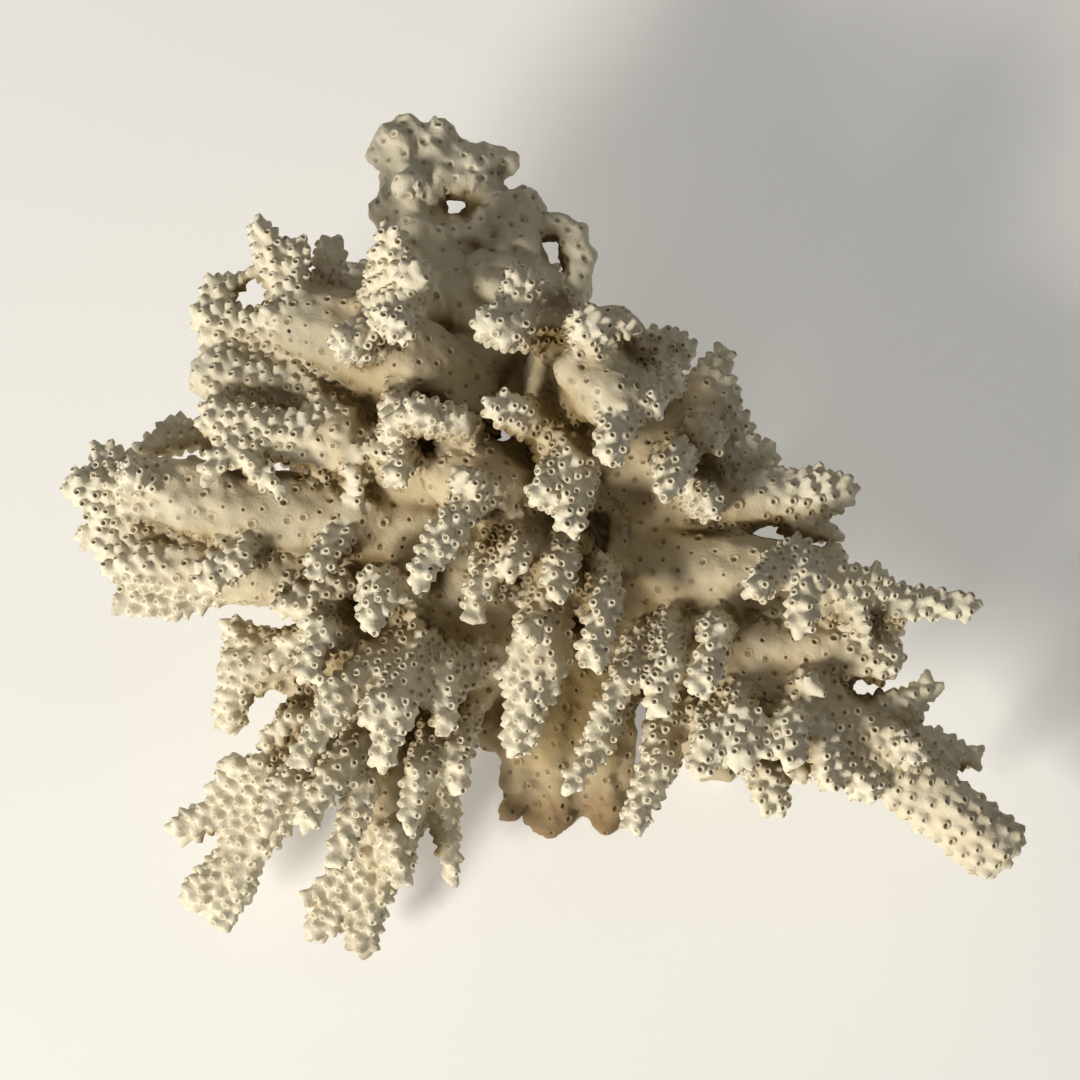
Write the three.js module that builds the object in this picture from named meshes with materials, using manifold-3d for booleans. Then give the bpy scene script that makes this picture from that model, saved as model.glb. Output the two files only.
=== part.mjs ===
// A bleached staghorn-family coral skeleton: a low, leaning crown of stout limbs, each thick with
// finger-like branchlets, on a lobed holdfast that is cut off flat where it grew on its rock.
// Millimetres, +Z up. The origin is the middle of the flat cut, and the part stands on z = 0.
// The coral grew as one piece. It is divided here at its main forks: one mesh for the holdfast, and
// one for each limb with the branchlets that it carries.
import * as THREE from "three";
import { mergeVertices } from "three/addons/utils/BufferGeometryUtils.js";
import Module from "manifold-3d";

// ---- Driving dimensions ----
const CROWN_HEIGHT = 36; // where the crown's own frame sits above the flat cut
const CROWN_LEAN = THREE.MathUtils.degToRad(20); // the crown's face leans forward from level by this
const FORK_GAP = 0.55; // clearance between two neighbouring pieces
const FINEST_DETAIL = 0.2; // steps smaller than this are merged into their neighbours
const LIMB_SIDES = 7;
const TWIG_SIDES = 5;
const IVORY = new THREE.Color(0.86, 0.82, 0.72);
const CORAL_FINISH = { roughness: 0.85, metalness: 0 };

// Short twigs on a limb's underside, the same recipe for every limb.
const UNDER_SHARES = [0.62]; // how far along the limb each one springs
const UNDER_REACH = 6; // how far its tip stands from the limb's own surface
const UNDER_RADIUS = 3.4;
const UNDER_TIP_RADIUS = 2.4;
const LOWEST_TIP = 4; // no underside tip comes nearer to the ground than this

const wasm = await Module();
wasm.setup();

// ---- Shapes ----

// A shoot is a list of stations [x, y, z, radius] from its foot to its tip. Its last point is the
// very end of its rounded tip.
function shootGeometry(stations, sides) {
  const points = stations.map(([x, y, z]) => new THREE.Vector3(x, y, z));
  const curve = new THREE.CatmullRomCurve3(points, false, "centripetal");
  const length = curve.getLength();
  const tipRadius = stations.at(-1)[3];
  const domeStart = 1 - Math.min(0.4, (0.9 * tipRadius) / length);

  const profile = [new THREE.Vector2(0, 0), new THREE.Vector2(stations[0][3], 0)];
  const last = stations.length - 1;
  for (let i = 1; i < last; i++) profile.push(new THREE.Vector2(stations[i][3], (i / last) * domeStart));
  profile.push(new THREE.Vector2(tipRadius, domeStart));
  profile.push(new THREE.Vector2(0.6 * tipRadius, domeStart + 0.8 * (1 - domeStart)));
  profile.push(new THREE.Vector2(0, 1));

  // The lathe is turned about a straight axis of length 1, then laid along the curve.
  const geometry = new THREE.LatheGeometry(profile, sides);
  const position = geometry.getAttribute("position");
  const frame = new THREE.Matrix4();
  const up = new THREE.Vector3();
  for (let i = 0; i < position.count; i++) {
    const share = position.getY(i);
    const centre = curve.getPoint(share);
    const along = curve.getTangent(share);
    up.set(0, 0, 1);
    if (Math.abs(along.z) > 0.9) up.set(0, 1, 0);
    const side = new THREE.Vector3().crossVectors(up, along).normalize();
    const over = new THREE.Vector3().crossVectors(along, side);
    frame.makeBasis(side, along, over).setPosition(centre);
    const offset = new THREE.Vector3(position.getX(i), 0, position.getZ(i)).applyMatrix4(frame);
    position.setXYZ(i, offset.x, offset.y, offset.z);
  }
  return geometry;
}

// A three.js geometry as a solid: shared vertices merged, collapsed triangles left out, and the
// whole skin pushed out by `grow`.
function solidOf(geometry, grow = 0) {
  const bare = geometry.clone();
  bare.deleteAttribute("normal");
  bare.deleteAttribute("uv");
  const merged = mergeVertices(bare, 1e-3);
  if (grow > 0) pushOut(merged, grow);
  const kept = [];
  const index = merged.index.array;
  for (let i = 0; i < index.length; i += 3) {
    const [a, b, c] = [index[i], index[i + 1], index[i + 2]];
    if (a !== b && b !== c && c !== a) kept.push(a, b, c);
  }
  const mesh = new wasm.Mesh({
    numProp: 3,
    vertProperties: merged.getAttribute("position").array,
    triVerts: new Uint32Array(kept),
  });
  const solid = new wasm.Manifold(mesh);
  if (solid.volume() > 0) return solid;
  for (let i = 0; i < kept.length; i += 3) [kept[i + 1], kept[i + 2]] = [kept[i + 2], kept[i + 1]];
  mesh.triVerts = new Uint32Array(kept);
  return new wasm.Manifold(mesh);
}

// The normals of a turned shape can point in or out, so the sign is taken from the shape's volume.
function pushOut(geometry, distance) {
  geometry.computeVertexNormals();
  const position = geometry.getAttribute("position");
  const normal = geometry.getAttribute("normal");
  const signed = distance * Math.sign(signedVolume(geometry));
  const point = new THREE.Vector3();
  for (let i = 0; i < position.count; i++) {
    point.fromBufferAttribute(normal, i).multiplyScalar(signed);
    position.setXYZ(i, position.getX(i) + point.x, position.getY(i) + point.y, position.getZ(i) + point.z);
  }
}

function signedVolume(geometry) {
  const index = geometry.index.array;
  const position = geometry.getAttribute("position");
  const [a, b, c] = [new THREE.Vector3(), new THREE.Vector3(), new THREE.Vector3()];
  let total = 0;
  for (let i = 0; i < index.length; i += 3) {
    a.fromBufferAttribute(position, index[i]);
    b.fromBufferAttribute(position, index[i + 1]);
    c.fromBufferAttribute(position, index[i + 2]);
    total += a.dot(b.cross(c)) / 6;
  }
  return total;
}

function geometryOf(solid) {
  const mesh = solid.getMesh();
  const geometry = new THREE.BufferGeometry();
  geometry.setAttribute("position", new THREE.BufferAttribute(mesh.vertProperties, 3));
  geometry.setIndex(new THREE.BufferAttribute(mesh.triVerts, 1));
  geometry.computeVertexNormals();
  return geometry;
}

// All the shoots of one piece joined, each grown by the same amount.
function joined(piece, grow = 0) {
  const solids = [
    ...piece.stems.map((stations) => solidOf(shootGeometry(stations, LIMB_SIDES), grow)),
    ...piece.twigs.map((stations) => solidOf(shootGeometry(stations, TWIG_SIDES), grow)),
  ];
  return solids.reduce((all, one) => all.add(one));
}

const mainBody = (solid) => solid.decompose().sort((a, b) => b.volume() - a.volume())[0];

// The one main body of a cut piece, with the slivers that the cuts leave on it merged away.
function cleanBody(solid) {
  const merged = mainBody(solid).asOriginal().simplify(FINEST_DETAIL);
  return mainBody(merged);
}

// ---- The design, in the crown's frame: x across, y up the leaning face, z out of the face ----

const twig = (foot, tip, footRadius, tipRadius) => [[...foot, footRadius], [...tip, tipRadius]];

const limbs = {
  left_limb: {
    stems: [
      [[-8, 4, -8, 9.5], [-30, 3, -1, 7.5], [-50, 6, 1, 6.5], [-66, 9, 1, 6]],
      [[-20, -3, -6, 6], [-40, -6, -1, 5.6], [-56, -4, 1, 5.2], [-67, -3, 1, 4.5]],
      [[-26, 12, -10, 5], [-46, 16, -10, 4.2], [-60, 17, -9, 3.2]],
    ],
    twigs: [
      twig([-60, 8, 2], [-73.5, 8, 3], 4.4, 4),
      twig([-62, 10, 0], [-69.5, 15, 1], 3.8, 3),
      twig([-60, 9, 4], [-62, 10, 12], 4, 3.2),
      twig([-62, 5, 2], [-70, 3, 3], 4, 3),
      twig([-60, -2, 1], [-72, 1, 2], 3.8, 2.6),
      twig([-60, -3, 1], [-68, -5, 3], 3.8, 3),
      [[-44, -5.5, -2, 3.4], [-57, -10.5, 0, 3.2], [-67, -10, 1, 2.4]],
      twig([-46, -1, 3], [-51, -8, 10], 3.6, 3.2),
      twig([-44, 0, 3], [-46, -5, 10], 3.2, 3),
      twig([-29, 2, 4], [-35, -6, 12], 3.8, 3.3),
      twig([-28, -6, 2], [-41, -11, 7], 3.8, 2.8),
      twig([-28, 4, 4], [-28, 13, 10], 3.6, 1.8),
      twig([-52, 16, -10], [-59, 19.5, -8], 3, 2.4),
      twig([-56, 15, -9], [-65, 14, -8], 3, 2.4),
    ],
  },
  left_shelf_limb: {
    stems: [
      [[-10, 10, -2, 7], [-30, 14, 4, 5.2], [-44, 17, 6, 4.4], [-52.5, 19.5, 6, 3.8]],
      [[-10, 16, -6, 7], [-28, 22, -1, 5], [-42, 24, 0, 4.4], [-54.5, 26, 0, 5]],
    ],
    twigs: [
      twig([-45, 16, 7], [-51, 8, 11], 3.2, 2.8),
      [[-46, 14, 8, 2.6], [-41, 9, 11, 2.6], [-36, 6, 13, 2.2]],
      twig([-46, 27, -1], [-52, 31.5, 0], 3.2, 2.6),
      twig([-32, 22, 3], [-38, 16, 9], 3.2, 2.8),
      twig([-28, 20, 4], [-31, 15, 10], 2.8, 2.4),
      twig([-22, 22, 5], [-22, 16, 14], 3.2, 3),
      twig([-20, 14, 8], [-22, 8, 16], 3.4, 3),
      twig([-22, 15, 7], [-26, 13, 12], 2.6, 2.2),
    ],
  },
  upper_left_limb: {
    stems: [
      [[-8, 18, -8, 9], [-24, 29, 0, 8.4], [-35, 33, 0, 7.2], [-41.5, 34, 0, 5]],
      [[-38, 31.5, -1, 4.6], [-46, 33, -1, 3.8], [-54.5, 35, 1, 3.6]],
      [[-37, 37, -1, 4.4], [-42.5, 42.5, -2, 2.8], [-46, 40, -2, 2], [-51, 38, -1, 2.6]],
    ],
    twigs: [
      twig([-48, 36.5, -1], [-52.5, 41, -1], 3.6, 2.4),
      twig([-39, 38, 0], [-43.5, 50, 1], 4.2, 3),
      twig([-38, 37, 0], [-36.5, 47.5, 0], 4.4, 3.2),
      twig([-33, 36, -6], [-32.5, 48.5, -8], 4.6, 3.2),
      twig([-28, 34, -2], [-27.5, 44, -5], 5, 4),
      twig([-41, 35, 3], [-42, 34, 8], 2.4, 1.8),
      twig([-25, 30, 4], [-30, 29, 15], 5, 4.2),
      twig([-24, 34, 3], [-22, 48, 13], 5.4, 3.4),
      twig([-23, 36, 6], [-20, 30, 21], 5, 3.6),
      twig([-22, 38, 6], [-17, 39, 17], 4.6, 3.6),
    ],
  },
  top_limb: {
    stems: [
      [[-4, 22, -12, 9], [-13, 38, -14, 7], [-20.5, 50, -17, 5.2], [-21, 60, -18, 5.6], [-22, 68, -18, 4.4]],
    ],
    twigs: [
      twig([-20, 55, -16], [-21, 57, -9], 4.6, 3.8),
      twig([-21, 53, -17], [-28, 53, -17], 4.4, 4),
      twig([-22, 60, -18], [-27.5, 62, -17], 4, 3.4),
      twig([-19, 48, -16], [-25, 47, -14], 4.6, 4),
      [[-20, 60, -18, 5.2], [-13, 61, -19, 4.8], [-7, 60, -20, 4.2], [-2.8, 60.5, -21, 3.2]],
      twig([-18, 59, -18], [-14, 67, -19], 5, 4),
      twig([-10, 60, -20], [-9, 52, -19], 4, 3.4),
      twig([-17, 59, -18], [-10, 56, -19], 4.4, 4),
    ],
  },
  top_arch_limb: {
    stems: [
      [[2, 22, -12, 9], [-3, 36, -14, 8], [-5.5, 46, -17, 6.2], [-6, 57.5, -18, 4.8]],
      [[3, 33, -13, 5], [5.4, 39, -15, 3.6], [6, 45, -16, 3], [4, 50, -17, 3.2], [-3, 50, -17, 3.4]],
    ],
    twigs: [
      twig([-6, 47, -17], [-16.5, 50, -16], 5.6, 4.6),
      twig([-6, 53, -18], [1.5, 55, -16], 4.4, 4),
      twig([-3, 47, -16], [-1, 45, -9], 2.8, 2.2),
      twig([-6, 38, -12], [-11, 42, -7], 5.5, 5),
    ],
  },
  crest_limb: {
    stems: [[[3, 14, -8, 9], [5, 26, 1, 8], [9, 30, 6, 6.5], [15, 31, 9, 5.5]]],
    twigs: [
      twig([2, 32, 5], [-10, 32, 18], 5.4, 4.6),
      twig([0, 34, 6], [-5, 40, 15], 5, 4),
      twig([-4, 30, 12], [-5, 28, 18], 2, 1.4),
      twig([2, 34, 3], [1, 42, 9], 4.6, 3.6),
      twig([8, 30, 7], [7, 32, 21], 5.4, 4.6),
      twig([12, 31, 7], [12.5, 32, 17], 4.4, 3.4),
      twig([8, 24, 6], [12, 21, 21], 8, 6),
      twig([12, 20, 14], [10, 11, 24], 5, 3.6),
      twig([13, 22, 12], [19, 19, 19], 4.6, 3.4),
      twig([6, 26, 9], [4, 25, 17], 4.4, 3.6),
      twig([14, 24, 4], [21, 32, 8], 6, 5),
      twig([20, 29, 7], [21.5, 33, 9], 2.6, 2),
      twig([17, 25, 8], [21, 22, 15], 4, 3.4),
      twig([19, 27, 6], [25, 29, 8], 3.4, 2.8),
    ],
  },
  upper_right_limb: {
    stems: [[[9, 8, -11, 8.5], [20, 15, -5, 7.2], [26, 21, -5, 6], [27, 29, -6, 4.4]]],
    twigs: [
      twig([26, 24, -5], [29.5, 31.5, -5], 3.4, 2.4),
      twig([26, 20, -4], [32, 24.5, -4], 3.8, 2.8),
      twig([26, 16, -4], [33.5, 19, -3], 4, 3),
      twig([25, 12, -5], [38, 14, -4], 5.5, 2.8),
      twig([23, 17, -1], [28, 14, 4], 5, 4.4),
    ],
  },
  upper_side_limb: {
    stems: [[[12, 2, -11, 8], [28, 5, -5, 6], [40, 7.5, -4, 4.6], [50, 7.5, -3, 3.6]]],
    twigs: [
      twig([41, 7, -3], [44, 12.5, -3], 3, 2.4),
      twig([37, 2, -5], [48.5, 1, -4], 3.4, 1.8),
      twig([24, 6, -1], [26, 5, 11], 4, 3.4),
      [[20, 8, -2, 4.4], [20, 13, 12, 4.2], [18, 5, 19, 2.8]],
    ],
  },
  right_limb: {
    stems: [
      [[12, -4, -10, 8.5], [28, -5, -1, 6.8], [43, -6.5, 1, 5.2], [57, -9.8, 0, 3.4], [68, -10, 0, 2.9]],
    ],
    twigs: [
      twig([37, -3, 4], [31, -8, 18], 3.6, 3),
      [[38, -1, 4, 4.4], [40, -8, 14, 3.8], [37, -15, 17, 2.8]],
      twig([49, -6, 1], [54, -4, 2], 3, 2.2),
      twig([47, -9, 2], [50, -15, 7], 3, 2.2),
      twig([52, -9, 1], [57, -12, 4], 2.8, 2),
      twig([40, -5, -2], [48.5, -2, -4], 3.6, 2.4),
      twig([50, -12, -2], [57, -14.5, -3], 3.6, 2.6),
    ],
  },
  lower_right_limb: {
    stems: [
      [
        [12, -9, -11, 8.5],
        [28, -20, -4, 7.2],
        [44, -27, 0, 6.6],
        [58, -38.5, -1, 5.8],
        [70, -46.5, -1, 6],
        [73.5, -48.5, -1, 5.4],
      ],
      [[20, -12, -8, 6], [36, -16, -1, 5.4], [47, -17, 0, 5.4], [56, -19.5, 1, 4.4]],
    ],
    twigs: [
      twig([57.5, -25, -3], [60.5, -18.5, -3], 2.6, 1.6),
      twig([50, -26, -1], [63.5, -22.5, -3], 3, 2.2),
      twig([50, -28, -2], [60, -27, -4], 3.4, 2.4),
      twig([56, -32, -3], [70, -34, -6], 3.6, 2.6),
      twig([54, -31, -4], [65, -31, -6], 3.4, 2.8),
      twig([52, -30, 2], [58, -33, 9], 4, 3.2),
      twig([46, -32, 2], [51, -40.5, 7], 4.6, 3.8),
      twig([42, -26, 3], [44, -38.5, 9], 4.4, 3.4),
      twig([38, -30, -4], [41, -39, -5], 3.6, 3.2),
      twig([61, -42, 0], [70, -52, 0], 4.4, 3.4),
      twig([40, -22, 4], [42, -22, 11], 3.6, 2.8),
    ],
  },
  right_fan_limb: {
    stems: [[[8, -3, -8, 8.5], [16, -14, -6, 6], [24, -24, -5, 5.2], [34, -34, -3, 4.6]]],
    twigs: [
      [[14, 6, -4, 4.4], [13, 0, 18, 3.8], [11, -9, 23, 2.6]],
      [[20, 0, -4, 4.6], [20, -6, 14, 4], [15, -16, 20, 2.8]],
      twig([21, -6, 13], [23, -12, 16], 2.2, 1.6),
      [[9, -4, -3, 4.4], [9.5, -11, 14, 3.9], [7, -20, 18, 3]],
      [[16, -14, -1, 3.6], [12, -22, 13, 3.2], [7, -30, 15, 2.2]],
      [[14, -20, -5, 3.8], [9, -30, 8, 3.3], [3, -39, 11, 2.3]],
      [[20, -12, -1, 3.8], [19, -19, 13, 3.5], [17, -27, 16, 2.8]],
      [[21, -22, -5, 5], [17, -36, 8, 3.8], [13, -44.5, 10, 3]],
      [[27, -12, -3, 4], [26, -15, 14, 3.4], [23, -24, 18, 3.2]],
      [[26, -23, -4, 4], [25, -31, 11, 3.4], [23, -36, 12, 2.6]],
      [[29, -21, -4, 4.6], [30, -28, 10, 4.2], [30, -35, 12, 3]],
      [[35, -26, -4, 4], [38, -28, 11, 3.6], [37, -35, 13, 2.6]],
      twig([36, -30, 10], [32, -33, 13], 2.4, 1.7),
      [[32, -31, -5, 5], [35, -37, 5, 4.4], [35, -43, 7, 3.6]],
    ],
  },
  centre_limb: {
    stems: [[[0, 6, -10, 10], [-3, 8, 2, 9], [-10, 9, 6, 7], [-18, 10, 8, 5.5]]],
    twigs: [
      [[3, 2, 2, 4], [3, -5, 14, 3.6], [2, -10, 17, 2.6]],
      [[-2, 6, 2, 5], [1, -7, 6, 4.8], [0, -18, 9, 6], [-3, -28, 10, 4.4], [-4, -33, 11, 2.6]],
      twig([-1, -12, 8], [-2, -14, 16], 3.2, 2.6),
      twig([-3, -20, 8], [-9, -20, 9], 2, 1.7),
      twig([2, -19, 10], [3, -19, 15], 2, 1.6),
      [[3, 15, 4, 5], [5, 9, 16, 5.2], [4, 0, 21, 3]],
      twig([2, 11, 14], [-1, 5, 21], 3.2, 2.9),
      [[-3, 9, 6, 5], [-11, 5, 14, 4.2], [-15, -1, 18, 4], [-19, -8, 20, 3]],
      twig([-9, 8, 13], [-13, 10, 19], 3.4, 2.7),
      twig([-3, 4, 5], [-4, -6, 16], 3.8, 3.1),
      [[-6, 2, 3, 3.8], [-9, -8, 12, 3.1], [-11, -14, 14, 2]],
      twig([-11, 16, 5], [-20, 20, 17], 4.6, 3.8),
      twig([-9, 15, 6], [-12, 18, 15], 3, 2.2),
      twig([3, 17, 4], [-8, 20, 19], 4.8, 4),
    ],
  },
  lower_left_limb: {
    stems: [
      [
        [-8, -3, -9, 8.5],
        [-20, -18, -6, 5.6],
        [-34.5, -35, -5, 4.8],
        [-47, -49.5, -6, 4.4],
        [-55.5, -57, -6, 3.8],
      ],
    ],
    twigs: [
      twig([-43, -46, -5], [-51, -62, -7], 3.8, 3.2),
      [[-34, -33, -7, 4.4], [-46, -40, -4, 3.8], [-58.5, -46, -6, 3]],
      twig([-42, -36, -3], [-50, -33, -2], 2.8, 2.2),
      twig([-48, -38, -4], [-53, -37, -3], 2.6, 2),
      twig([-52, -43, -6], [-55, -48.5, -6], 2.4, 1.7),
      [[-20, -14, -1, 4.4], [-31, -25, 11, 3.9], [-37, -35, 13, 2.8]],
      [[-32, -32, -4, 3.6], [-39, -38, 8, 3.2], [-42, -45, 9, 2.2]],
      [[-25, -26, -2, 4], [-32, -37, 9, 3.5], [-36, -44, 10, 2.6]],
      [[-18, -14, 0, 4.4], [-22, -26, 13, 4.2], [-24, -35, 14, 3]],
      twig([-23, -23, 13], [-28, -28, 15], 2.4, 1.9),
      [[-27, -28, -6, 4], [-27, -40, 5, 3.5], [-32, -51, 7, 2.6]],
      [[-27, -14, -5, 4.6], [-34, -15, 9, 4.2], [-35, -22, 11, 3]],
      [[-28, -16, -7, 4.2], [-39, -16, 3, 3.4], [-41, -21, 4, 2]],
      [[-25, -18, -7, 5.4], [-40, -18, -8, 6], [-48.3, -22, -8, 5.8], [-47.5, -31, -8, 3.8]],
      twig([-40, -18, -8], [-50.5, -12.5, -9], 4.4, 3),
      twig([-28, -24, -7], [-42, -28, -9], 5.5, 3.4),
      [[-32, -28, -7, 4], [-40, -28, -4, 3.6], [-43, -33, -4, 2.6]],
      [[-20, -10, -3, 4.6], [-25, -6, 11, 3.8], [-25, -15, 15, 3]],
      twig([-24, -8, 12], [-18, -10, 13], 2.4, 1.8),
    ],
  },
  lower_limb: {
    stems: [
      [
        [-4, -8, -12, 8.5],
        [-14, -26, -10, 6],
        [-23, -44, -8, 5.6],
        [-26.5, -56, -7, 4.5],
        [-28, -65.5, -7, 3],
      ],
    ],
    twigs: [
      twig([-26, -52, -6], [-36.5, -62.5, -6], 4.4, 2.8),
      twig([-27, -48, -6], [-38, -57.5, -6], 3.4, 2),
      twig([-22, -44, -4], [-21, -54, 1], 4.4, 3),
      [[-15, -27, -5, 4], [-19, -37, 8, 3.5], [-20, -45, 9, 2.4]],
      [[-15, -33, -9, 4], [-14.5, -47, -9, 3], [-13.5, -55, -9, 2.2]],
      [[-12, -18, -6, 4.6], [-15, -22, 8, 4.4], [-14, -30, 11, 2.6]],
      [[-12, -26, -7, 4.2], [-13, -34, 5, 3.8], [-13, -40, 6, 2.6]],
      twig([-12, -33, 5], [-11, -35, 10], 2, 1.5),
      [[-8, -16, -8, 4.4], [-10, -19, 4, 3], [-11, -25, 6, 1.4]],
    ],
  },
};

// The holdfast, in the part's own upright frame. Its lobes run down below z = 0 and are cut there.
const holdfast = {
  stems: [
    [[0, 2, -4, 21], [0, 4, 8, 18], [0, 8, 18, 15], [1, 9, 30, 10]],
    [[-6, 0, 16, 8], [-20, -6, 7, 8], [-27, -8, -5, 8]],
    [[-4, 10, 14, 8], [-14, 20, 7, 8], [-19, 25, -5, 8]],
    [[6, 10, 14, 8], [15, 20, 8, 8], [19, 25, -5, 7]],
    [[8, 2, 14, 8], [22, 4, 7, 7], [31, 4, -5, 7]],
  ],
  twigs: [
    [[0, -8, 18, 8], [-2, -22, 9, 6], [-4.2, -32, 2, 2.6], [-7.2, -37, -1, 1.8]],
    [[-4, -8, 16, 8], [-8, -19, 8, 5], [-9, -25, 4, 3]],
    [[4, -8, 20, 7], [3, -27, 8, 4.8], [1.3, -40, -4, 3.8]],
    [[9, -8, 18, 7], [10.5, -24, 10, 6.4], [10.6, -37.5, -5, 5.2]],
    [[14, -6, 16, 7], [23, -17, 8, 5.6], [33, -32, -6, 4.6]],
  ],
};

// ---- Assembly ----

const coral = new THREE.Group();
const crown = new THREE.Group();
crown.position.z = CROWN_HEIGHT;
crown.rotation.x = CROWN_LEAN;
crown.updateMatrix();
coral.add(crown);

function addPiece(name, solid, parent) {
  const material = new THREE.MeshStandardMaterial({ color: IVORY, ...CORAL_FINISH });
  const mesh = new THREE.Mesh(geometryOf(solid), material);
  mesh.name = name;
  parent.add(mesh);
}

// A limb's underside twigs lean out along it and to alternate sides, and stop short of the ground.
function undersideTwigs(stem) {
  const curve = new THREE.CatmullRomCurve3(stem.map(([x, y, z]) => new THREE.Vector3(x, y, z)));
  const shoots = UNDER_SHARES.map((share, i) => {
    const foot = curve.getPoint(share);
    const along = curve.getTangent(share);
    const side = new THREE.Vector3(-along.y, along.x, 0).multiplyScalar(i % 2 ? 0.5 : -0.5);
    const way = new THREE.Vector3(0, 0, -1).addScaledVector(along, 0.4).add(side).normalize();
    const limbRadius = stem[Math.round(share * (stem.length - 1))][3];
    const tip = foot.clone().addScaledVector(way, limbRadius + UNDER_REACH);
    return { foot, tip };
  });
  return shoots
    .filter(({ tip }) => tip.clone().applyMatrix4(crown.matrix).z > LOWEST_TIP)
    .map(({ foot, tip }) => twig(foot.toArray(), tip.toArray(), UNDER_RADIUS, UNDER_TIP_RADIUS));
}

const below = new THREE.BoxGeometry(400, 400, 100).translate(0, 0, -50);
const ground = solidOf(below);
const cutFlat = (solid) => solid.subtract(ground);
const crownFromPart = crown.matrix.clone().invert().toArray();

addPiece("holdfast", cleanBody(cutFlat(joined(holdfast))), coral);

// Each limb is cut back from the holdfast and from the limbs already made, with the fork gap left.
let taken = joined(holdfast, FORK_GAP).transform(crownFromPart);
const groundInCrown = solidOf(below.clone().translate(0, 0, 1)).transform(crownFromPart);
for (const [name, limb] of Object.entries(limbs)) {
  const piece = { stems: limb.stems, twigs: [...limb.twigs, ...undersideTwigs(limb.stems[0])] };
  addPiece(name, cleanBody(joined(piece).subtract(taken).subtract(groundInCrown)), crown);
  taken = taken.add(joined(piece, FORK_GAP));
}

export default coral;
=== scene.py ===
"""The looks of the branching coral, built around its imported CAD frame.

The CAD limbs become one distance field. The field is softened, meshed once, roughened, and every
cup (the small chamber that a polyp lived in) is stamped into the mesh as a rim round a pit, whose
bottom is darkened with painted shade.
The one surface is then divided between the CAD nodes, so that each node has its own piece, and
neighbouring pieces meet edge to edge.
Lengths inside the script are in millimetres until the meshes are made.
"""
import heapq
import itertools
import math

import bpy
import numpy as np
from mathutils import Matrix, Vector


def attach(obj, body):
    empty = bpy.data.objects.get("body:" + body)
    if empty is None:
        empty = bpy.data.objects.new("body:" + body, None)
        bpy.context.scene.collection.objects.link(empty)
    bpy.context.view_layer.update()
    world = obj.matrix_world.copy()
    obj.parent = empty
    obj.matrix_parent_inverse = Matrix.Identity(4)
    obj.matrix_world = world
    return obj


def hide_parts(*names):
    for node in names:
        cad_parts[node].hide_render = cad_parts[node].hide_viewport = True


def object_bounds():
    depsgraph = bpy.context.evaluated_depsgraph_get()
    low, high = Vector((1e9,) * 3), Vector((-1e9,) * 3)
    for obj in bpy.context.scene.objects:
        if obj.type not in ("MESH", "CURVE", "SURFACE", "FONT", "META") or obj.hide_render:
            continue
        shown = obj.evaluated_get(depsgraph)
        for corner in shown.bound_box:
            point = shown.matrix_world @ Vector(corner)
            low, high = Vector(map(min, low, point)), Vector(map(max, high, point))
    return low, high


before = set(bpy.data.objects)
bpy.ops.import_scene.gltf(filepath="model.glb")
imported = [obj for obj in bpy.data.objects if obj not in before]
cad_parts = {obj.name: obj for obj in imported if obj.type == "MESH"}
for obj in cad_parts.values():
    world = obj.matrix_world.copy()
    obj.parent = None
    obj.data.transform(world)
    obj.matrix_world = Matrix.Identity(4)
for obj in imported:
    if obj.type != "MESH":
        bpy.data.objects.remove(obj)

import openvdb

cad_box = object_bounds()

# ---- Driving values, millimetres ----
MM = 1000.0  # millimetres in a metre
VOXEL = 0.6
MARGIN = 6.0  # empty space kept round the coral in the grid
BAND = 10  # voxels of distance kept on each side of the CAD surface
FORK_CLOSE = 0.6  # the nodes swell and shrink again by this, which closes the gaps at the forks
SOFTEN = 0.7  # radius over which facets and creases are smoothed
TRIM = 0.7  # what the softened surface gives back, so that the cups end at the CAD's size
SEAM_SOFTEN = 1.5  # radius over which the seams between nodes are evened
FOOT_HEIGHT = 1.8  # the holdfast's walls run straight down from here to the cut
CUP_FLOOR = 1.6  # no cup is centred lower than this

CUP_GAP_TWIG = 1.5  # least distance between cups on a branchlet, and on a limb
CUP_GAP_LIMB = 2.4
TWIG_RADIUS = 2.4  # a shoot this thin is all branchlet, and one of LIMB_RADIUS is all limb
LIMB_RADIUS = 3.4
YOUNG_FROM = 40  # toward the crown's rim the coral is younger, from here out to YOUNG_TO
YOUNG_TO = 64

SEED = 7
random = np.random.default_rng(SEED)


# ---- Grid fields ----

def grid_spec():
    low = (np.array(cad_box[0]) * MM - MARGIN) / VOXEL
    high = (np.array(cad_box[1]) * MM + MARGIN) / VOXEL
    first = np.floor(low).astype(int)
    return first, tuple(np.ceil(high).astype(int) - first + 1)


GRID_FIRST, GRID_SHAPE = grid_spec()


def node_triangles(obj):
    mesh = obj.data
    mesh.calc_loop_triangles()
    points = np.empty(len(mesh.vertices) * 3, np.float32)
    mesh.vertices.foreach_get("co", points)
    corners = np.empty(len(mesh.loop_triangles) * 3, np.int32)
    mesh.loop_triangles.foreach_get("vertices", corners)
    return points.reshape(-1, 3) * MM, corners.reshape(-1, 3)


def distance_to(points, **faces):
    """The signed distance to a closed surface, negative inside it, over the whole grid."""
    level_set = openvdb.FloatGrid.createLevelSetFromPolygons(
        points, transform=openvdb.createLinearTransform(voxelSize=VOXEL), halfWidth=float(BAND), **faces)
    field = np.empty(GRID_SHAPE, np.float32)
    level_set.copyToArray(field, ijk=tuple(int(i) for i in GRID_FIRST))
    return field


def zero_surface(field):
    """Points and quads where the field is zero."""
    grid = openvdb.FloatGrid(float(BAND * VOXEL))
    grid.copyFromArray(field, ijk=tuple(int(i) for i in GRID_FIRST))
    grid.transform = openvdb.createLinearTransform(voxelSize=VOXEL)
    return grid.convertToQuads(0.0)


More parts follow.
